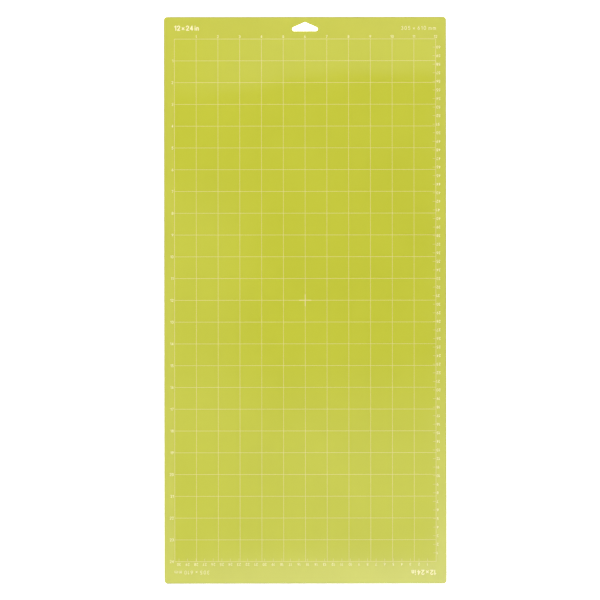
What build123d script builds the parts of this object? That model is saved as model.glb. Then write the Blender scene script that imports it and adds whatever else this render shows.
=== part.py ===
"""Thin grip mat for a cutting machine: a die-cut plastic sheet, a tacky coat over its middle, and white
printed scales. Millimetres, +Z up. The origin is under the centre of the mat, on the surface it lies on,
and +Y points to the end with the hang slot."""

import os
from functools import cache
from math import atan2, degrees, dist

from build123d import *

os.makedirs("parts", exist_ok=True)

# Grid: one-inch squares, centred on the sheet
INCH = 25.4
CM = 10.0
COLUMNS = 12
ROWS = 24
GRID_WIDTH = COLUMNS * INCH
GRID_LENGTH = ROWS * INCH

# Carrier sheet and its hang slot
SHEET_WIDTH = 329.5
SHEET_LENGTH = 661.5
SHEET_THICK = 0.8
SHEET_CORNER_R = 4.0
SLOT_WIDTH = 30.0
SLOT_HEIGHT = 10.6
SLOT_END_R = 2.5
SLOT_APEX_R = 1.8
SLOT_EDGE_GAP = 6.2

# Tacky coat over the grid
COAT_THICK = 0.1
COAT_OVERRUN = 0.6

# Print
INK_THICK = 0.03
LINE_WIDTH = 0.35
BORDER_WIDTH = 0.4
TICK_WIDTH = 0.3
TICK_LENGTH = 3.3
CROSS_SPAN = 14.0
CROSS_WIDTH = 0.9
INCH_SIDE_GAP = 1.4
INCH_END_GAP = 1.2
CM_SIDE_GAP = 1.0
CM_END_GAP = 1.7
CM_SIDE_COUNT = 60
CM_END_COUNT = 30

# Size marks in the corners of the end margins, with their baselines' distance from the border
INCH_MARK = "12 x 24 in"
INCH_MARK_RISE = 9.8
MM_MARK = "305 x 610 mm"
MM_MARK_RISE = 10.6

# Lettering styles: cap height, width of the pen and gap between characters
NUMERAL_STYLE = {"cap": 3.2, "pen": 0.4, "gap": 0.64}
BOLD_STYLE = {"cap": 6.0, "pen": 1.1, "gap": 0.85}
LIGHT_STYLE = {"cap": 4.3, "pen": 0.45, "gap": 1.6}

# Lettering: strokes of a plain round pen, in units of the cap height between the pen's centre lines.
# A line runs between two points. An arc has its centre, radius, start angle and sweep, in degrees.
GLYPHS = {
    "0": [
        ("arc", (0.27, 0.73), 0.27, 0, 180),
        ("line", (0, 0.73), (0, 0.27)),
        ("arc", (0.27, 0.27), 0.27, 180, 180),
        ("line", (0.54, 0.27), (0.54, 0.73)),
    ],
    "1": [("line", (0.24, 0), (0.24, 1)), ("line", (0.24, 1), (0, 0.8))],
    "2": [
        ("arc", (0.27, 0.73), 0.27, -40, 210),
        ("line", (0.48, 0.56), (0, 0)),
        ("line", (0, 0), (0.54, 0)),
    ],
    "3": [
        ("arc", (0.26, 0.76), 0.24, -90, 240),
        ("arc", (0.26, 0.26), 0.26, -150, 240),
    ],
    "4": [
        ("line", (0.42, 0), (0.42, 1)),
        ("line", (0.42, 1), (0, 0.28)),
        ("line", (0, 0.28), (0.56, 0.28)),
    ],
    "5": [
        ("arc", (0.25, 0.29), 0.29, -150, 280),
        ("line", (0.06, 0.51), (0.1, 1)),
        ("line", (0.1, 1), (0.5, 1)),
    ],
    "6": [("arc", (0.28, 0.28), 0.28, 0, 360), ("line", (0.04, 0.42), (0.37, 1))],
    "7": [("line", (0, 1), (0.52, 1)), ("line", (0.52, 1), (0.16, 0))],
    "8": [
        ("arc", (0.27, 0.77), 0.23, 0, 360),
        ("arc", (0.27, 0.27), 0.27, 0, 360),
    ],
    "9": [("arc", (0.28, 0.72), 0.28, 0, 360), ("line", (0.52, 0.58), (0.19, 0))],
    "x": [("line", (0, 0.14), (0.44, 0.58)), ("line", (0, 0.58), (0.44, 0.14))],
    "i": [("line", (0, 0), (0, 0.6)), ("line", (0, 0.94), (0, 0.98))],
    "n": [
        ("line", (0, 0), (0, 0.62)),
        ("arc", (0.2, 0.42), 0.2, 0, 180),
        ("line", (0.4, 0), (0.4, 0.42)),
    ],
    "m": [
        ("line", (0, 0), (0, 0.62)),
        ("arc", (0.19, 0.43), 0.19, 0, 180),
        ("line", (0.38, 0), (0.38, 0.43)),
        ("arc", (0.57, 0.43), 0.19, 0, 180),
        ("line", (0.76, 0), (0.76, 0.43)),
    ],
}


def pen_line(start, end, pen):
    """Adds a round-ended straight stroke to the sketch in progress."""
    middle = ((start[0] + end[0]) / 2, (start[1] + end[1]) / 2)
    turn = degrees(atan2(end[1] - start[1], end[0] - start[0]))
    with Locations(middle):
        SlotCenterToCenter(dist(start, end), pen, rotation=turn)


def pen_arc(centre, radius, start, sweep, pen):
    """Adds a round-ended curved stroke, or a whole ring, to the sketch in progress."""
    if sweep == 360:
        with Locations(centre):
            Circle(radius + pen / 2)
            Circle(radius - pen / 2, mode=Mode.SUBTRACT)
    else:
        SlotArc(CenterArc(centre, radius, start, sweep), pen)


@cache
def glyph(symbol, cap, pen):
    """One character, its baseline at y = 0 and its left edge at x = 0."""
    scale = cap - pen
    with BuildSketch(mode=Mode.PRIVATE) as drawn:
        for kind, first, second, *angles in GLYPHS[symbol]:
            base = (first[0] * scale, first[1] * scale)
            if kind == "line":
                pen_line(base, (second[0] * scale, second[1] * scale), pen)
            else:
                pen_arc(base, second * scale, *angles, pen)
    return drawn.sketch.moved(Location((pen / 2, pen / 2)))


def write(text, x, y, align, cap, pen, gap):
    """A line of characters on the baseline y. align is the share of its width that lies left of x. A
    space is one more gap."""
    placed = []
    reach = 0
    for symbol in text:
        if symbol == " ":
            reach += gap
            continue
        shape = glyph(symbol, cap, pen)
        placed.append((shape, reach))
        reach += shape.bounding_box().size.X + gap
    left = x - align * (reach - gap)
    return [shape.moved(Location((left + offset, y))) for shape, offset in placed]


def end_labels(step, count, gap):
    """Numbers over the upper border, counted from the left border."""
    labels = []
    for number in range(1, count + 1):
        x = number * step - GRID_WIDTH / 2
        labels += write(str(number), x, GRID_LENGTH / 2 + gap, 0.5, **NUMERAL_STYLE)
    return labels


def side_labels(step, count, gap):
    """Numbers left of the left border, counted from the upper border down."""
    labels = []
    for number in range(1, count + 1):
        y = GRID_LENGTH / 2 - number * step - NUMERAL_STYLE["cap"] / 2
        labels += write(str(number), -GRID_WIDTH / 2 - gap, y, 1, **NUMERAL_STYLE)
    return labels


# The centimetre scales and the lower marks read with the mat turned half round, so the same rules lay
# them out on a turned plane.
SHEET_TOP = Plane.XY.offset(SHEET_THICK)
SHEET_TOP_TURNED = Plane(origin=(0, 0, SHEET_THICK), x_dir=(-1, 0, 0), z_dir=(0, 0, 1))
FIELD_TOP = Plane.XY.offset(SHEET_THICK + COAT_THICK)
FIELD_TOP_TURNED = Plane(
    origin=(0, 0, SHEET_THICK + COAT_THICK), x_dir=(-1, 0, 0), z_dir=(0, 0, 1)
)

# Print over the grid, seen from above. Each outline also cuts the coat, so that print and coat fit.
with BuildSketch(FIELD_TOP) as border_outline:
    Rectangle(GRID_WIDTH + BORDER_WIDTH, GRID_LENGTH + BORDER_WIDTH)
    Rectangle(
        GRID_WIDTH - BORDER_WIDTH, GRID_LENGTH - BORDER_WIDTH, mode=Mode.SUBTRACT
    )

with BuildSketch(FIELD_TOP) as cross_outline:
    Rectangle(CROSS_SPAN, CROSS_WIDTH)
    Rectangle(CROSS_WIDTH, CROSS_SPAN)

with BuildSketch(FIELD_TOP) as line_outline:
    with GridLocations(INCH, INCH, COLUMNS - 1, 1):
        Rectangle(LINE_WIDTH, GRID_LENGTH - BORDER_WIDTH)
    with GridLocations(INCH, INCH, 1, ROWS - 1):
        Rectangle(GRID_WIDTH - BORDER_WIDTH, LINE_WIDTH)
    Rectangle(CROSS_SPAN, CROSS_WIDTH, mode=Mode.SUBTRACT)
    Rectangle(CROSS_WIDTH, CROSS_SPAN, mode=Mode.SUBTRACT)

# Ticks run inwards from the border at every centimetre. The one that meets an inch line stops there.
TICK_MIDDLE = BORDER_WIDTH / 2 + TICK_LENGTH / 2
with BuildSketch(FIELD_TOP_TURNED) as side_tick_outline:
    for number in range(1, CM_SIDE_COUNT + 1):
        with Locations(
            (-GRID_WIDTH / 2 + TICK_MIDDLE, GRID_LENGTH / 2 - number * CM)
        ):
            Rectangle(TICK_LENGTH, TICK_WIDTH)
    with GridLocations(INCH, INCH, 1, ROWS - 1):
        Rectangle(GRID_WIDTH, LINE_WIDTH, mode=Mode.SUBTRACT)

with BuildSketch(FIELD_TOP_TURNED) as end_tick_outline:
    for number in range(1, CM_END_COUNT + 1):
        with Locations(
            (-GRID_WIDTH / 2 + number * CM, GRID_LENGTH / 2 - TICK_MIDDLE)
        ):
            Rectangle(TICK_WIDTH, TICK_LENGTH)

FIELD_OUTLINES = [
    border_outline,
    cross_outline,
    line_outline,
    side_tick_outline,
    end_tick_outline,
]

# Carrier sheet: die-cut, with the hang slot at the +Y end
SLOT_BASE_Y = SHEET_LENGTH / 2 - SLOT_EDGE_GAP - SLOT_HEIGHT
with BuildPart() as carrier_sheet:
    with BuildSketch():
        RectangleRounded(SHEET_WIDTH, SHEET_LENGTH, SHEET_CORNER_R)
    extrude(amount=SHEET_THICK)
    with BuildSketch():
        with GridLocations(SLOT_WIDTH - 2 * SLOT_END_R, 0, 2, 1):
            with Locations((0, SLOT_BASE_Y + SLOT_END_R)):
                Circle(SLOT_END_R)
        with Locations((0, SLOT_BASE_Y + SLOT_HEIGHT - SLOT_APEX_R)):
            Circle(SLOT_APEX_R)
        make_hull()
    extrude(amount=SHEET_THICK, mode=Mode.SUBTRACT)
carrier_sheet.part.label = "carrier_sheet"
export_step(carrier_sheet.part, "parts/carrier_sheet.step")

# Tacky coat: one skin over the grid, grooved for the print that shows through it
with BuildPart() as adhesive_coat:
    with BuildSketch(SHEET_TOP):
        Rectangle(GRID_WIDTH + 2 * COAT_OVERRUN, GRID_LENGTH + 2 * COAT_OVERRUN)
    extrude(amount=COAT_THICK)
    for outline in FIELD_OUTLINES:
        extrude(outline.sketch, amount=-INK_THICK, mode=Mode.SUBTRACT)
adhesive_coat.part.label = "adhesive_coat"
export_step(adhesive_coat.part, "parts/adhesive_coat.step")

# Print over the grid
with BuildPart() as grid_border:
    extrude(border_outline.sketch, amount=-INK_THICK)
grid_border.part.label = "grid_border"
export_step(grid_border.part, "parts/grid_border.step")

with BuildPart() as inch_grid_lines:
    extrude(line_outline.sketch, amount=-INK_THICK)
inch_grid_lines.part.label = "inch_grid_lines"
export_step(inch_grid_lines.part, "parts/inch_grid_lines.step")

with BuildPart() as centre_cross:
    extrude(cross_outline.sketch, amount=-INK_THICK)
centre_cross.part.label = "centre_cross"
export_step(centre_cross.part, "parts/centre_cross.step")

with BuildPart() as cm_ticks_side:
    extrude(side_tick_outline.sketch, amount=-INK_THICK)
cm_ticks_side.part.label = "cm_ticks_side"
export_step(cm_ticks_side.part, "parts/cm_ticks_side.step")

with BuildPart() as cm_ticks_end:
    extrude(end_tick_outline.sketch, amount=-INK_THICK)
cm_ticks_end.part.label = "cm_ticks_end"
export_step(cm_ticks_end.part, "parts/cm_ticks_end.step")

# Scale numbers, printed on the bare margins
with BuildPart() as inch_numerals_end:
    with BuildSketch(SHEET_TOP):
        add(end_labels(INCH, COLUMNS, INCH_END_GAP))
    extrude(amount=INK_THICK)
inch_numerals_end.part.label = "inch_numerals_end"
export_step(inch_numerals_end.part, "parts/inch_numerals_end.step")

with BuildPart() as inch_numerals_side:
    with BuildSketch(SHEET_TOP):
        add(side_labels(INCH, ROWS, INCH_SIDE_GAP))
    extrude(amount=INK_THICK)
inch_numerals_side.part.label = "inch_numerals_side"
export_step(inch_numerals_side.part, "parts/inch_numerals_side.step")

with BuildPart() as cm_numerals_end:
    with BuildSketch(SHEET_TOP_TURNED):
        add(end_labels(CM, CM_END_COUNT, CM_END_GAP))
    extrude(amount=INK_THICK)
cm_numerals_end.part.label = "cm_numerals_end"
export_step(cm_numerals_end.part, "parts/cm_numerals_end.step")

with BuildPart() as cm_numerals_side:
    with BuildSketch(SHEET_TOP_TURNED):
        add(side_labels(CM, CM_SIDE_COUNT, CM_SIDE_GAP))
    extrude(amount=INK_THICK)
cm_numerals_side.part.label = "cm_numerals_side"
export_step(cm_numerals_side.part, "parts/cm_numerals_side.step")


def inch_mark():
    """The bold size mark, its left end over the left border."""
    baseline = GRID_LENGTH / 2 + INCH_MARK_RISE
    return write(INCH_MARK, -GRID_WIDTH / 2, baseline, 0, **BOLD_STYLE)


def mm_mark():
    """The light size mark, its right end over the right border."""
    baseline = GRID_LENGTH / 2 + MM_MARK_RISE
    return write(MM_MARK, GRID_WIDTH / 2, baseline, 1, **LIGHT_STYLE)


# Size marks: one pair at the slot end, and the same pair turned half round at the other end
with BuildPart() as inch_size_mark_top:
    with BuildSketch(SHEET_TOP):
        add(inch_mark())
    extrude(amount=INK_THICK)
inch_size_mark_top.part.label = "inch_size_mark_top"
export_step(inch_size_mark_top.part, "parts/inch_size_mark_top.step")

with BuildPart() as mm_size_mark_top:
    with BuildSketch(SHEET_TOP):
        add(mm_mark())
    extrude(amount=INK_THICK)
mm_size_mark_top.part.label = "mm_size_mark_top"
export_step(mm_size_mark_top.part, "parts/mm_size_mark_top.step")

with BuildPart() as inch_size_mark_bottom:
    with BuildSketch(SHEET_TOP_TURNED):
        add(inch_mark())
    extrude(amount=INK_THICK)
inch_size_mark_bottom.part.label = "inch_size_mark_bottom"
export_step(inch_size_mark_bottom.part, "parts/inch_size_mark_bottom.step")

with BuildPart() as mm_size_mark_bottom:
    with BuildSketch(SHEET_TOP_TURNED):
        add(mm_mark())
    extrude(amount=INK_THICK)
mm_size_mark_bottom.part.label = "mm_size_mark_bottom"
export_step(mm_size_mark_bottom.part, "parts/mm_size_mark_bottom.step")
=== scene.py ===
import math
from functools import cache

import bmesh
import bpy
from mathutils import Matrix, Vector
from mathutils.geometry import delaunay_2d_cdt


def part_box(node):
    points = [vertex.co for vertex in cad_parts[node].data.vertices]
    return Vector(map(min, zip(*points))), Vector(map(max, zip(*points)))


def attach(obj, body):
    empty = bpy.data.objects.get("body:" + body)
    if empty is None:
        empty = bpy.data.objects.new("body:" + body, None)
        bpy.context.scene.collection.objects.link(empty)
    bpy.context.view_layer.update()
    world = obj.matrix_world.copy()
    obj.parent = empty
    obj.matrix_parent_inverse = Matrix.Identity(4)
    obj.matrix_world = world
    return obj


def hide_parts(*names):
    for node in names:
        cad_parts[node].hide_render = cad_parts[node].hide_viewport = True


# Looks of a thin grip mat for a cutting machine: a die-cut lime sheet, its glossy tacky coat and its white
# print. Metres, in the frame of the CAD model. Small sizes are given in millimetres, times MM.

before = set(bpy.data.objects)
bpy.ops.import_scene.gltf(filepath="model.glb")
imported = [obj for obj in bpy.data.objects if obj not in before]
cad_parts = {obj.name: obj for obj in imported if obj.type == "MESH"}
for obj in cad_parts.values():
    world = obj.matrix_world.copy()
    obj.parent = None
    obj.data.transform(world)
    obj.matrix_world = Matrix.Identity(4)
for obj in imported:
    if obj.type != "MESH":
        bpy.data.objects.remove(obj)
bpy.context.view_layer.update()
MM = 0.001

# Die-cut sheet. The rim width is that of a darker band of painted shade along its outline, standing in for
# the shade on the rounded cut edge.
CORNER_R = 4.0 * MM
CORNER_STEPS = 24
EDGE_R = 0.25 * MM
EDGE_STEPS = 4
RIM_SHADE_WIDTH = 1.8 * MM
SLOT_WIDTH = 30.0 * MM
SLOT_HEIGHT = 10.6 * MM
SLOT_END_R = 2.5 * MM
SLOT_APEX_R = 1.8 * MM
SLOT_EDGE_GAP = 6.2 * MM

# Print: each style's pen width and gap between characters. WELD is the shortest edge that is kept.
INCH = 25.4 * MM
CM = 10.0 * MM
INCH_MARK = "12 x 24 in"
MM_MARK = "305 x 610 mm"
NUMERAL_STYLE = (0.4 * MM, 0.64 * MM)
BOLD_STYLE = (1.1 * MM, 0.85 * MM)
LIGHT_STYLE = (0.45 * MM, 1.6 * MM)
STEPS_PER_TURN = 40
WELD = 0.001 * MM

# Colours, each as the two ends of a fine mottle
SHEET_COLOURS = ((0.432, 0.450, 0.036), (0.452, 0.470, 0.040))
COAT_COLOURS = ((0.432, 0.456, 0.031), (0.446, 0.470, 0.034))
FIELD_INK_COLOURS = ((0.65, 0.58, 0.25), (0.71, 0.64, 0.32))
MARGIN_INK_COLOURS = ((0.74, 0.70, 0.36), (0.80, 0.76, 0.46))
# The painted shade along the sheet's outline: its darker, greyer colour and how fully it covers there.
RIM_SHADE_COLOUR = (0.330, 0.330, 0.100)
RIM_SHADE_STRENGTH = 0.8
WHITE = (1, 1, 1, 1)
BLACK = (0, 0, 0, 1)
PLASTIC_IOR = 1.5

# Stage. The levels are emission strengths.
CAMERA_LENS = 120.0
CAMERA_PLACE = (-0.0061, 0.0003, 2.334)
CAMERA_ROLL = -0.06
FLOOR_REACH = 30.0
FLOOR_DROP = 0.2 * MM
FLOOR_GREY = (0.95, 0.95, 0.95, 1)
FLOOR_LEVEL = 0.8
HORIZON_LEVEL = 1.06
STUDIO_LEVEL = 0.28

# Ceiling card over the mat. A point of it shows in the mat CEILING_SPREAD times nearer to the mat's centre.
CEILING_HEIGHT = 3.4
CEILING_REACH = 1.2
CEILING_NEAR = -1.8
CEILING_FAR = 1.6
CEILING_LEVEL = 0.2
CEILING_SPREAD = 1 + CEILING_HEIGHT / CAMERA_PLACE[2]

# Lettering: strokes of a plain round pen, in units of the cap height between the pen's centre lines.
# A line runs between two points. An arc has its centre, radius, start angle and sweep, in degrees.
GLYPHS = {
    "0": [
        ("arc", (0.27, 0.73), 0.27, 0, 180),
        ("line", (0, 0.73), (0, 0.27)),
        ("arc", (0.27, 0.27), 0.27, 180, 180),
        ("line", (0.54, 0.27), (0.54, 0.73)),
    ],
    "1": [("line", (0.24, 0), (0.24, 1)), ("line", (0.24, 1), (0, 0.8))],
    "2": [
        ("arc", (0.27, 0.73), 0.27, -40, 210),
        ("line", (0.48, 0.56), (0, 0)),
        ("line", (0, 0), (0.54, 0)),
    ],
    "3": [
        ("arc", (0.26, 0.76), 0.24, -90, 240),
        ("arc", (0.26, 0.26), 0.26, -150, 240),
    ],
    "4": [
        ("line", (0.42, 0), (0.42, 1)),
        ("line", (0.42, 1), (0, 0.28)),
        ("line", (0, 0.28), (0.56, 0.28)),
    ],
    "5": [
        ("arc", (0.25, 0.29), 0.29, -150, 280),
        ("line", (0.06, 0.51), (0.1, 1)),
        ("line", (0.1, 1), (0.5, 1)),
    ],
    "6": [
        ("arc", (0.28, 0.28), 0.28, 0, 180),
        ("arc", (0.28, 0.28), 0.28, 180, 180),
        ("line", (0.04, 0.42), (0.37, 1)),
    ],
    "7": [("line", (0, 1), (0.52, 1)), ("line", (0.52, 1), (0.16, 0))],
    "8": [
        ("arc", (0.27, 0.77), 0.23, 0, 180),
        ("arc", (0.27, 0.77), 0.23, 180, 180),
        ("arc", (0.27, 0.27), 0.27, 0, 180),
        ("arc", (0.27, 0.27), 0.27, 180, 180),
    ],
    "9": [
        ("arc", (0.28, 0.72), 0.28, 0, 180),
        ("arc", (0.28, 0.72), 0.28, 180, 180),
        ("line", (0.52, 0.58), (0.19, 0)),
    ],
    "x": [("line", (0, 0.14), (0.44, 0.58)), ("line", (0, 0.58), (0.44, 0.14))],
    "i": [("line", (0, 0), (0, 0.6)), ("line", (0, 0.94), (0, 0.98))],
    "n": [
        ("line", (0, 0), (0, 0.62)),
        ("arc", (0.2, 0.42), 0.2, 0, 180),
        ("line", (0.4, 0), (0.4, 0.42)),
    ],
    "m": [
        ("line", (0, 0), (0, 0.62)),
        ("arc", (0.19, 0.43), 0.19, 0, 180),
        ("line", (0.38, 0), (0.38, 0.43)),
        ("arc", (0.57, 0.43), 0.19, 0, 180),
        ("line", (0.76, 0), (0.76, 0.43)),
    ],
}


# ---- Plane shapes -------------------------------------------------------------------------------------


def arc(centre, radius, start, sweep):
    """Points along an arc, and the outward direction at each."""
    steps = max(2, math.ceil(abs(sweep) / 360 * STEPS_PER_TURN))
    points = []
    ways = []
    for k in range(steps + 1):
        turn = math.radians(start + sweep * k / steps)
        way = Vector((math.cos(turn), math.sin(turn)))
        points.append(Vector(centre) + way * radius)
        ways.append(way)
    return points, ways


def pen_stroke(points, ways, half):
    """The outline of a round-ended stroke along points. ways point to its right-hand side."""
    right = [p + w * half for p, w in zip(points, ways)]
    left = [p - w * half for p, w in zip(points, ways)]
    last = math.degrees(math.atan2(ways[-1].y, ways[-1].x))
    first = math.degrees(math.atan2(-ways[0].y, -ways[0].x))
    far_end = arc(points[-1], half, last, 180)[0][1:-1]
    near_end = arc(points[0], half, first, 180)[0][1:-1]
    return right + far_end + left[::-1] + near_end


def stroke(kind, first, second, angles, scale, pen):
    """One stroke of a glyph as a closed outline, counter-clockwise."""
    offset = Vector((pen / 2, pen / 2))
    base = Vector(first) * scale + offset
    if kind == "line":
        end = Vector(second) * scale + offset
        way = (end - base).normalized()
        side = Vector((way.y, -way.x))
        return pen_stroke([base, end], [side, side], pen / 2)
    points, ways = arc(base, second * scale, *angles)
    return pen_stroke(points, ways, pen / 2)


def cleaned(points, triangles):
    """The same plane shape without needle triangles or edges shorter than WELD."""
    flat = bmesh.new()
    corners = [flat.verts.new((p.x, p.y, 0)) for p in points]
    for triangle in triangles:
        flat.faces.new([corners[k] for k in triangle])
    bmesh.ops.remove_doubles(flat, verts=flat.verts, dist=WELD)
    bmesh.ops.dissolve_degenerate(flat, edges=flat.edges, dist=WELD)
    flat.verts.index_update()
    places = [corner.co.to_2d() for corner in flat.verts]
    faces = [[corner.index for corner in face.verts] for face in flat.faces]
    flat.free()
    return places, faces


def joined(outlines):
    """The union of overlapping counter-clockwise outlines, as points and triangles."""
    points = [p for outline in outlines for p in outline]
    faces = []
    for outline in outlines:
        start = faces[-1][-1] + 1 if faces else 0
        faces.append(list(range(start, start + len(outline))))
    made, _, triangles, _, _, sources = delaunay_2d_cdt(points, [], faces, 0, WELD)
    kept = [t for t, source in zip(triangles, sources) if source]
    used = sorted({k for t in kept for k in t})
    place = {old: new for new, old in enumerate(used)}
    return cleaned([made[k] for k in used], [[place[k] for k in t] for t in kept])


def rims(triangles):
    """The directed edges with a triangle on their left side only."""
    edges = {(t[k], t[(k + 1) % len(t)]) for t in triangles for k in range(len(t))}
    return sorted(e for e in edges if (e[1], e[0]) not in edges)


# ---- Meshes -------------------------------------------------------------------------------------------


def make_object(name, vertices, faces, material, smooth_from=None):
    """A mesh object. Faces from smooth_from on are shaded smooth."""
    mesh = bpy.data.meshes.new(name)
    mesh.from_pydata(vertices, [], faces)
    if smooth_from is not None:
        for k in range(smooth_from, len(faces)):
            mesh.polygons[k].use_smooth = True
    mesh.materials.append(material)
    made = bpy.data.objects.new(name, mesh)
    bpy.context.scene.collection.objects.link(made)
    return made


def add_slab(vertices, faces, shape, corner, sign, bottom, top):
    """Adds one flat slab of the given plane shape, moved to corner. A sign of -1 turns it half round the
    mat's centre."""
    points, triangles = shape
    start = len(vertices)
    count = len(points)
    moved = [(corner + p) * sign for p in points]
    vertices += [(p.x, p.y, bottom) for p in moved]
    vertices += [(p.x, p.y, top) for p in moved]
    low = [[start + k for k in reversed(t)] for t in triangles]
    high = [[start + count + k for k in t] for t in triangles]
    walls = [
        [start + a, start + b, start + count + b, start + count + a]
        for a, b in rims(triangles)
    ]
    faces += low + high + walls


def rounded_rectangle(half_width, half_length, radius):
    """A closed outline, counter-clockwise, with the same number of points for any size."""
    points = []
    for quarter in range(4):
        turn = math.radians(90 * quarter + 45)
        corner = Vector(
            (
                math.copysign(half_width - radius, math.cos(turn)),
                math.copysign(half_length - radius, math.sin(turn)),
            )
        )
        for k in range(CORNER_STEPS + 1):
            turn = math.radians(90 * (quarter + k / CORNER_STEPS))
            points.append(
                corner + Vector((math.cos(turn), math.sin(turn))) * radius
            )
    return points


def slot_outline(base, grow):
    """The hang slot: the hull of two end circles and an apex circle, counter-clockwise, grown by grow."""
    end = Vector((SLOT_WIDTH / 2 - SLOT_END_R, base + SLOT_END_R))
    apex = Vector((0, base + SLOT_HEIGHT - SLOT_APEX_R))
    rise = math.atan2(apex.y - end.y, end.x)
    lean = math.acos((SLOT_APEX_R - SLOT_END_R) / (apex - end).length)
    slope = math.degrees(lean - rise)
    parts = [
        (end, SLOT_END_R, -90, slope + 90),
        (apex, SLOT_APEX_R, slope, 180 - 2 * slope),
        (Vector((-end.x, end.y)), SLOT_END_R, 180 - slope, slope + 90),
    ]
    points = []
    for centre, radius, start, sweep in parts:
        for k in range(CORNER_STEPS + 1):
            turn = math.radians(start + sweep * k / CORNER_STEPS)
            way = Vector((math.cos(turn), math.sin(turn)))
            points.append(centre + way * (radius + grow))
    return points


def make_sheet(material):
    """The die-cut sheet, with softly rounded cut edges round its outline and its slot."""
    low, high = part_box("carrier_sheet")
    slot_base = high.y - SLOT_EDGE_GAP - SLOT_HEIGHT
    quarter = [math.radians(90 * k / EDGE_STEPS) for k in range(EDGE_STEPS + 1)]
    rounds = [(EDGE_R * (1 - math.sin(t)), EDGE_R * (1 - math.cos(t))) for t in quarter]
    profile = [(inset, low.z + rise) for inset, rise in rounds]
    profile += [(inset, high.z - rise) for inset, rise in reversed(rounds)]
    vertices = []
    walls = []
    loops = []
    for inset, z in profile:
        outer = rounded_rectangle(high.x - inset, high.y - inset, CORNER_R - inset)
        inner = slot_outline(slot_base, inset)
        starts = (len(vertices), len(vertices) + len(outer))
        vertices += [(p.x, p.y, z) for p in outer + inner]
        loops.append((starts, (len(outer), len(inner)), (outer, inner)))
    for (below, counts, _), (above, _, _) in zip(loops, loops[1:]):
        for side, count in enumerate(counts):
            for k in range(count):
                j = (k + 1) % count
                wall = [below[side] + k, below[side] + j, above[side] + j, above[side] + k]
                walls.append(wall if side == 0 else wall[::-1])
    caps = []
    for (starts, counts, outlines), turned in ((loops[0], True), (loops[-1], False)):
        points = outlines[0] + outlines[1]
        rings = [
            list(range(counts[0])),
            list(range(counts[0], counts[0] + counts[1])),
        ]
        _, _, triangles, origins, _, sources = delaunay_2d_cdt(points, [], rings, 0, WELD)
        names = [starts[0] + origin[0] for origin in origins]
        for triangle, source in zip(triangles, sources):
            if source == [0]:
                face = [names[k] for k in triangle]
                caps.append(face[::-1] if turned else face)
    return make_object("mat_sheet", vertices, caps + walls, material, len(caps))


# ---- Print --------------------------------------------------------------------------------------------


@cache
def glyph_shape(symbol, cap, pen):
    """The plane shape and the width of one character, made once for each style."""
    outlines = [
        stroke(kind, first, second, angles, cap - pen, pen)
        for kind, first, second, *angles in GLYPHS[symbol]
    ]
    shape = joined(outlines)
    return shape, max(p.x for p in shape[0])


def text_width(text, cap, style):
    """The width of a line of characters. A space is one more gap."""
    pen, gap = style
    widths = [glyph_shape(symbol, cap, pen)[1] for symbol in text if symbol != " "]
    return sum(widths) + gap * (len(text) - 1)


def make_print(name, node, labels, cap, style, turned, material):
    """A group of printed labels: (text, x, baseline y, share of the width left of x) each. turned turns
    the whole group half round the mat's centre."""
    low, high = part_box(node)
    pen, gap = style
    sign = -1 if turned else 1
    vertices = []
    faces = []
    for text, x, y, align in labels:
        reach = x - align * text_width(text, cap, style)
        for symbol in text:
            if symbol != " ":
                shape, width = glyph_shape(symbol, cap, pen)
                add_slab(vertices, faces, shape, Vector((reach, y)), sign, low.z, high.z)
                reach += width
            reach += gap
    made = make_object(name, vertices, faces, material)
    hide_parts(node)
    return made


def reading_box(node, turned):
    """A node's corners as read with the mat turned half round, or as they are."""
    low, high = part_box(node)
    if turned:
        return Vector((-high.x, -high.y, low.z)), Vector((-low.x, -low.y, high.z))
    return low, high


def grid_half(axis):
    """The grid's half width or half length: its border's, without the line's own thickness."""
    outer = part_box("grid_border")[1][axis]
    return round(outer / (INCH / 2)) * INCH / 2


def marks_within(half, step):
    """How many whole steps the grid holds."""
    return int(2 * half / step + 0.01)


def end_scale(name, node, step, turned, material):
    """Numbers over the end border, counted from its left end."""
    low, high = reading_box(node, turned)
    half = grid_half(0)
    labels = [
        (str(k), k * step - half, low.y, 0.5) for k in range(1, marks_within(half, step) + 1)
    ]
    return make_print(name, node, labels, high.y - low.y, NUMERAL_STYLE, turned, material)


def side_scale(name, node, step, cap, turned, material):
    """Numbers beside the left border, counted from its upper end."""
    _, high = reading_box(node, turned)
    half = grid_half(1)
    labels = [
        (str(k), high.x, half - k * step - cap / 2, 1)
        for k in range(1, marks_within(half, step) + 1)
    ]
    return make_print(name, node, labels, cap, NUMERAL_STYLE, turned, material)


def size_mark(name, node, text, style, turned, material):
    """A size mark in the corner of an end margin."""
    low, high = reading_box(node, turned)
    labels = [(text, low.x, low.y, 0)]
    return make_print(name, node, labels, high.y - low.y, style, turned, material)


# ---- Materials ----------------------------------------------------------------------------------------


def new_material(name):
    """An empty node material, its nodes, links and shader, and the object coordinates."""
    material = bpy.data.materials.new(name)
    material.use_nodes = True
    nodes = material.node_tree.nodes
    links = material.node_tree.links
    shader = nodes["Principled BSDF"]
    place = nodes.new("ShaderNodeTexCoord").outputs["Object"]
    return material, nodes, links, shader, place


def noise(nodes, links, place, scale, detail=2.0, rough=0.5):
    """A noise texture's value. scale is features per metre."""
    made = nodes.new("ShaderNodeTexNoise")
    made.inputs["Scale"].default_value = scale
    made.inputs["Detail"].default_value = detail
    made.inputs["Roughness"].default_value = rough
    links.new(place, made.inputs["Vector"])
    return made.outputs["Fac"]


def between(nodes, links, value, low, high, start=0.35, end=0.65):
    """value mapped from start..end to low..high, clamped."""
    made = nodes.new("ShaderNodeMapRange")
    made.inputs["From Min"].default_value = start
    made.inputs["From Max"].default_value = end
    made.inputs["To Min"].default_value = low
    made.inputs["To Max"].default_value = high
    links.new(value, made.inputs["Value"])
    return made.outputs["Result"]


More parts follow.
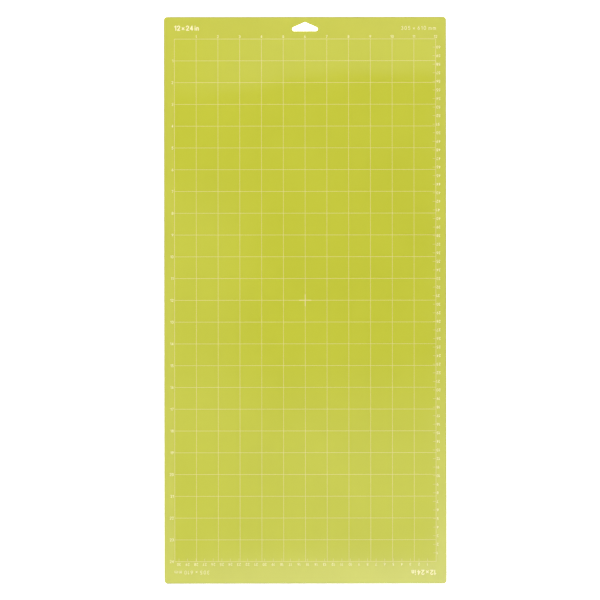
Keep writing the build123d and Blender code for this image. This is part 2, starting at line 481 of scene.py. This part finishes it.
def mixed(nodes, links, share, one, other):
    """A colour between one and other. Each is a colour or another node's output."""
    made = nodes.new("ShaderNodeMix")
    made.data_type = "RGBA"
    links.new(share, made.inputs["Factor"])
    for socket, colour in ((made.inputs["A"], one), (made.inputs["B"], other)):
        if isinstance(colour, tuple):
            socket.default_value = (*colour, 1)
        else:
            links.new(colour, socket)
    return made.outputs["Result"]


def arithmetic(nodes, links, operation, *values):
    """A Math node on numbers or other nodes' outputs."""
    made = nodes.new("ShaderNodeMath")
    made.operation = operation
    for socket, value in zip(made.inputs, values):
        if isinstance(value, (int, float)):
            socket.default_value = value
        else:
            links.new(value, socket)
    return made.outputs["Value"]


def bump(nodes, links, height, depth, before=None):
    """A bump of that depth in metres, on top of an earlier one."""
    made = nodes.new("ShaderNodeBump")
    made.inputs["Strength"].default_value = 1.0
    made.inputs["Distance"].default_value = depth
    links.new(height, made.inputs["Height"])
    if before is not None:
        links.new(before, made.inputs["Normal"])
    return made.outputs["Normal"]


def rim_share(nodes, links, place, width):
    """Where the painted edge shade lies: 1 at the sheet's outline, falling to 0 at width inside it."""
    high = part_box("carrier_sheet")[1]
    split = nodes.new("ShaderNodeSeparateXYZ")
    links.new(place, split.inputs["Vector"])
    gaps = []
    for axis, edge in (("X", high.x), ("Y", high.y)):
        size = arithmetic(nodes, links, "ABSOLUTE", split.outputs[axis])
        gaps.append(arithmetic(nodes, links, "SUBTRACT", edge, size))
    nearest = arithmetic(nodes, links, "MINIMUM", *gaps)
    return between(nodes, links, nearest, 1.0, 0.0, 0.0, width)


def mottled(nodes, links, place, scale, detail, rough, colours):
    """A colour that drifts between two with a noise."""
    share = between(nodes, links, noise(nodes, links, place, scale, detail, rough), 0, 1)
    return mixed(nodes, links, share, *colours)


def sheet_material():
    """Satin lime plastic: faint mottling, fine moulded grain, and a darker band of painted shade along the
    outline, for the shade on the rounded cut edge.
    """
    material, nodes, links, shader, place = new_material("lime_sheet")
    plain = mottled(nodes, links, place, 14, 3, 0.5, SHEET_COLOURS)
    # Painted shade: the colour turns darker and greyer towards the outline, for the shade on the rounded
    # cut edge.
    rim = rim_share(nodes, links, place, RIM_SHADE_WIDTH)
    rim_shade = arithmetic(nodes, links, "MULTIPLY", rim, RIM_SHADE_STRENGTH)
    links.new(mixed(nodes, links, rim_shade, plain, RIM_SHADE_COLOUR), shader.inputs["Base Color"])
    wear = noise(nodes, links, place, 40, 2)
    rough = between(nodes, links, wear, 0.19, 0.24, 0.2, 0.8)
    links.new(rough, shader.inputs["Roughness"])
    grain = noise(nodes, links, place, 2600, 2)
    links.new(bump(nodes, links, grain, 0.004 * MM), shader.inputs["Normal"])
    shader.inputs["IOR"].default_value = PLASTIC_IOR
    return material


def coat_material():
    """The glossy tacky coat: lime from the sheet below, with a slight orange-peel ripple."""
    material, nodes, links, shader, place = new_material("tacky_coat")
    colour = mottled(nodes, links, place, 11, 3, 0.5, COAT_COLOURS)
    links.new(colour, shader.inputs["Base Color"])
    smear = noise(nodes, links, place, 45, 4, 0.6)
    links.new(between(nodes, links, smear, 0.04, 0.07), shader.inputs["Roughness"])
    broad = noise(nodes, links, place, 16, 1)
    peel = noise(nodes, links, place, 420, 2)
    wavy = bump(nodes, links, broad, 0.05 * MM)
    fine = bump(nodes, links, peel, 0.0012 * MM, wavy)
    links.new(fine, shader.inputs["Normal"])
    shader.inputs["IOR"].default_value = PLASTIC_IOR
    return material


def ink_material(name, colours, roughness):
    """Off-white screen-printed ink: a little uneven in cover, as the mesh leaves it, so that lime shows
    through where it is thin."""
    material, nodes, links, shader, place = new_material(name)
    colour = mottled(nodes, links, place, 900, 3, 0.6, colours)
    links.new(colour, shader.inputs["Base Color"])
    shader.inputs["Roughness"].default_value = roughness
    shader.inputs["IOR"].default_value = PLASTIC_IOR
    weave = noise(nodes, links, place, 3200, 1)
    links.new(bump(nodes, links, weave, 0.004 * MM), shader.inputs["Normal"])
    return material


# ---- Stage --------------------------------------------------------------------------------------------


def make_camera():
    """Straight above the mat, with the slot end up."""
    data = bpy.data.cameras.new("camera")
    data.lens = CAMERA_LENS
    camera = bpy.data.objects.new("camera", data)
    camera.location = CAMERA_PLACE
    camera.rotation_euler = (0, 0, math.radians(CAMERA_ROLL))
    bpy.context.scene.collection.objects.link(camera)
    bpy.context.scene.camera = camera


def facing_mat(place):
    """The rotation that turns a light's or a card's back to place, toward the mat's centre."""
    return (-Vector(place)).to_track_quat("-Z", "Y").to_euler()


def card_material(name, colour):
    """The material of a stage card that can also glow white, with what new_material gives."""
    material, nodes, links, shader, place = new_material(name)
    shader.inputs["Base Color"].default_value = colour
    shader.inputs["Emission Color"].default_value = WHITE
    return material, nodes, links, shader, place


def flat_card(name, reach, near, far, height, material):
    """A flat stage card: reach to both sides, from near to far, at a height."""
    corners = [(-reach, near, height), (reach, near, height), (reach, far, height), (-reach, far, height)]
    card = make_object(name, corners, [[0, 1, 2, 3]], material)
    return card


def make_floor():
    """A plain white floor, lit a little from within like a light table, so that it is white far out."""
    material, _, _, shader, _ = card_material("pale_floor", FLOOR_GREY)
    shader.inputs["Roughness"].default_value = 1.0
    shader.inputs["Specular IOR Level"].default_value = 0.0
    shader.inputs["Emission Strength"].default_value = FLOOR_LEVEL
    flat_card("floor", FLOOR_REACH, -FLOOR_REACH, FLOOR_REACH, -FLOOR_DROP, material)


def make_ceiling():
    """A dim ceiling with soft glows, whose reflections lie on the mat: a band with a sharp edge over the
    slot end, a wide glow over the other half, and weaker ones along both sides. The numbers that place
    them are where their reflections lie on the mat, in metres."""
    material, nodes, links, shader, place = card_material("ceiling", BLACK)
    shrink = nodes.new("ShaderNodeVectorMath")
    shrink.operation = "SCALE"
    shrink.inputs["Scale"].default_value = 1 / CEILING_SPREAD
    links.new(place, shrink.inputs["Vector"])
    split = nodes.new("ShaderNodeSeparateXYZ")
    links.new(shrink.outputs["Vector"], split.inputs["Vector"])
    x = split.outputs["X"]
    y = split.outputs["Y"]

    def glow(value, start, end, low, high):
        """low up to start, high from end on, and a smooth step between them."""
        made = between(nodes, links, value, low, high, start, end)
        made.node.interpolation_type = "SMOOTHSTEP"
        return made

    def times(*values):
        return arithmetic(nodes, links, "MULTIPLY", *values)

    band_edge = glow(x, -0.13, 0.04, 0.241, 0.264)
    into_band = arithmetic(nodes, links, "SUBTRACT", y, band_edge)
    left_patch = times(glow(x, -0.03, -0.12, 0, 0.45), glow(y, 0.17, 0.09, 0, 1))
    glows = {
        "band": times(glow(into_band, -0.003, 0.005, 0, 1), glow(x, -0.17, -0.03, 0.4, 1.1)),
        "far half": times(glow(y, -0.03, -0.20, 0, 1), glow(x, -0.2, 0.1, 0.7, 1.15)),
        "far end": times(glow(y, -0.27, -0.42, 0, 5.2), glow(x, -0.17, -0.08, 0.3, 1)),
        "left patch": times(left_patch, glow(y, -0.2, -0.1, 0, 1)),
        "left side": times(glow(x, -0.155, -0.17, 0, 1), glow(y, 0.2, 0.0, 0.1, 0.8)),
        "right side": times(glow(x, 0.155, 0.17, 0, 1), glow(y, 0.2, -0.25, 1.0, 1.8)),
    }
    total = CEILING_LEVEL
    for part in glows.values():
        total = arithmetic(nodes, links, "ADD", total, part)
    links.new(total, shader.inputs["Emission Strength"])
    flat_card("ceiling", CEILING_REACH, CEILING_NEAR, CEILING_FAR, CEILING_HEIGHT, material)


def make_sheen(name, place, radius, level):
    """A card that faces the mat, as dim as the studio at its edge and brighter at its middle. Its
    reflection lies on the coat as a soft sheen."""
    material, nodes, links, shader, local = card_material(name, BLACK)
    length = nodes.new("ShaderNodeVectorMath")
    length.operation = "LENGTH"
    links.new(local, length.inputs["Vector"])
    glow = between(nodes, links, length.outputs["Value"], level, STUDIO_LEVEL, 0.1 * radius, radius)
    glow.node.interpolation_type = "SMOOTHSTEP"
    links.new(glow, shader.inputs["Emission Strength"])
    card = flat_card(name, radius, -radius, radius, 0, material)
    card.location = place
    card.rotation_euler = facing_mat(place)


def make_world():
    """Studio surroundings: white at the horizon, and above it soft brighter and dimmer grey panels."""
    world = bpy.data.worlds.new("studio")
    world.use_nodes = True
    nodes = world.node_tree.nodes
    links = world.node_tree.links
    place = nodes.new("ShaderNodeTexCoord").outputs["Generated"]
    split = nodes.new("ShaderNodeSeparateXYZ")
    links.new(place, split.inputs["Vector"])
    rise = split.outputs["Z"]
    level = between(nodes, links, rise, HORIZON_LEVEL, STUDIO_LEVEL, 0.0, 0.12)
    panels = between(nodes, links, noise(nodes, links, place, 2.4, 0), -0.7, 0.7)
    above_horizon = between(nodes, links, rise, 0, 1, 0.1, 0.25)
    share = arithmetic(nodes, links, "MULTIPLY", panels, above_horizon)
    level = arithmetic(nodes, links, "MULTIPLY_ADD", level, share, level)
    nodes["Background"].inputs["Color"].default_value = WHITE
    links.new(level, nodes["Background"].inputs["Strength"])
    bpy.context.scene.world = world


def soft_light(name, place, size, power, colour):
    """A large soft square light that faces the mat."""
    data = bpy.data.lights.new(name, "AREA")
    data.color = colour
    data.size = size
    data.energy = power
    light = bpy.data.objects.new(name, data)
    light.location = place
    light.rotation_euler = facing_mat(place)
    bpy.context.scene.collection.objects.link(light)


# ---- The mat ------------------------------------------------------------------------------------------

sheet = make_sheet(sheet_material())
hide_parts("carrier_sheet")

coat = coat_material()
field_ink = ink_material("field_ink", FIELD_INK_COLOURS, 0.05)
margin_ink = ink_material("margin_ink", MARGIN_INK_COLOURS, 0.4)
field_looks = {
    "adhesive_coat": coat,
    "grid_border": field_ink,
    "inch_grid_lines": field_ink,
    "centre_cross": field_ink,
    "cm_ticks_side": field_ink,
    "cm_ticks_end": field_ink,
}
for node, material in field_looks.items():
    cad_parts[node].data.materials.clear()
    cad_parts[node].data.materials.append(material)

inch_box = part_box("inch_numerals_end")
numeral_cap = inch_box[1].y - inch_box[0].y
pieces = [
    sheet,
    end_scale("print_inch_end", "inch_numerals_end", INCH, False, margin_ink),
    side_scale("print_inch_side", "inch_numerals_side", INCH, numeral_cap, False, margin_ink),
    end_scale("print_cm_end", "cm_numerals_end", CM, True, margin_ink),
    side_scale("print_cm_side", "cm_numerals_side", CM, numeral_cap, True, margin_ink),
]
for place, turned in (("top", False), ("bottom", True)):
    for unit, text, style in (("inch", INCH_MARK, BOLD_STYLE), ("mm", MM_MARK, LIGHT_STYLE)):
        name = f"print_{unit}_mark_{place}"
        node = f"{unit}_size_mark_{place}"
        pieces.append(size_mark(name, node, text, style, turned, margin_ink))
for piece in pieces:
    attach(piece, "root")

# ---- The view -----------------------------------------------------------------------------------------

make_camera()
make_floor()
make_ceiling()
make_sheen("back_sheen", (-1.64, 1.69, 1.01), 0.9, 0.9)
make_sheen("front_sheen", (2.73, -2.90, 1.10), 1.0, 0.75)
make_world()
soft_light("key", (-0.25, 1.75, 1.8), 1.8, 45, (1.0, 0.905, 0.9))
soft_light("fill", (-0.9, -1.4, 1.5), 1.6, 15, (0.95, 1.0, 1.0))
bpy.context.scene.view_settings.view_transform = "Standard"
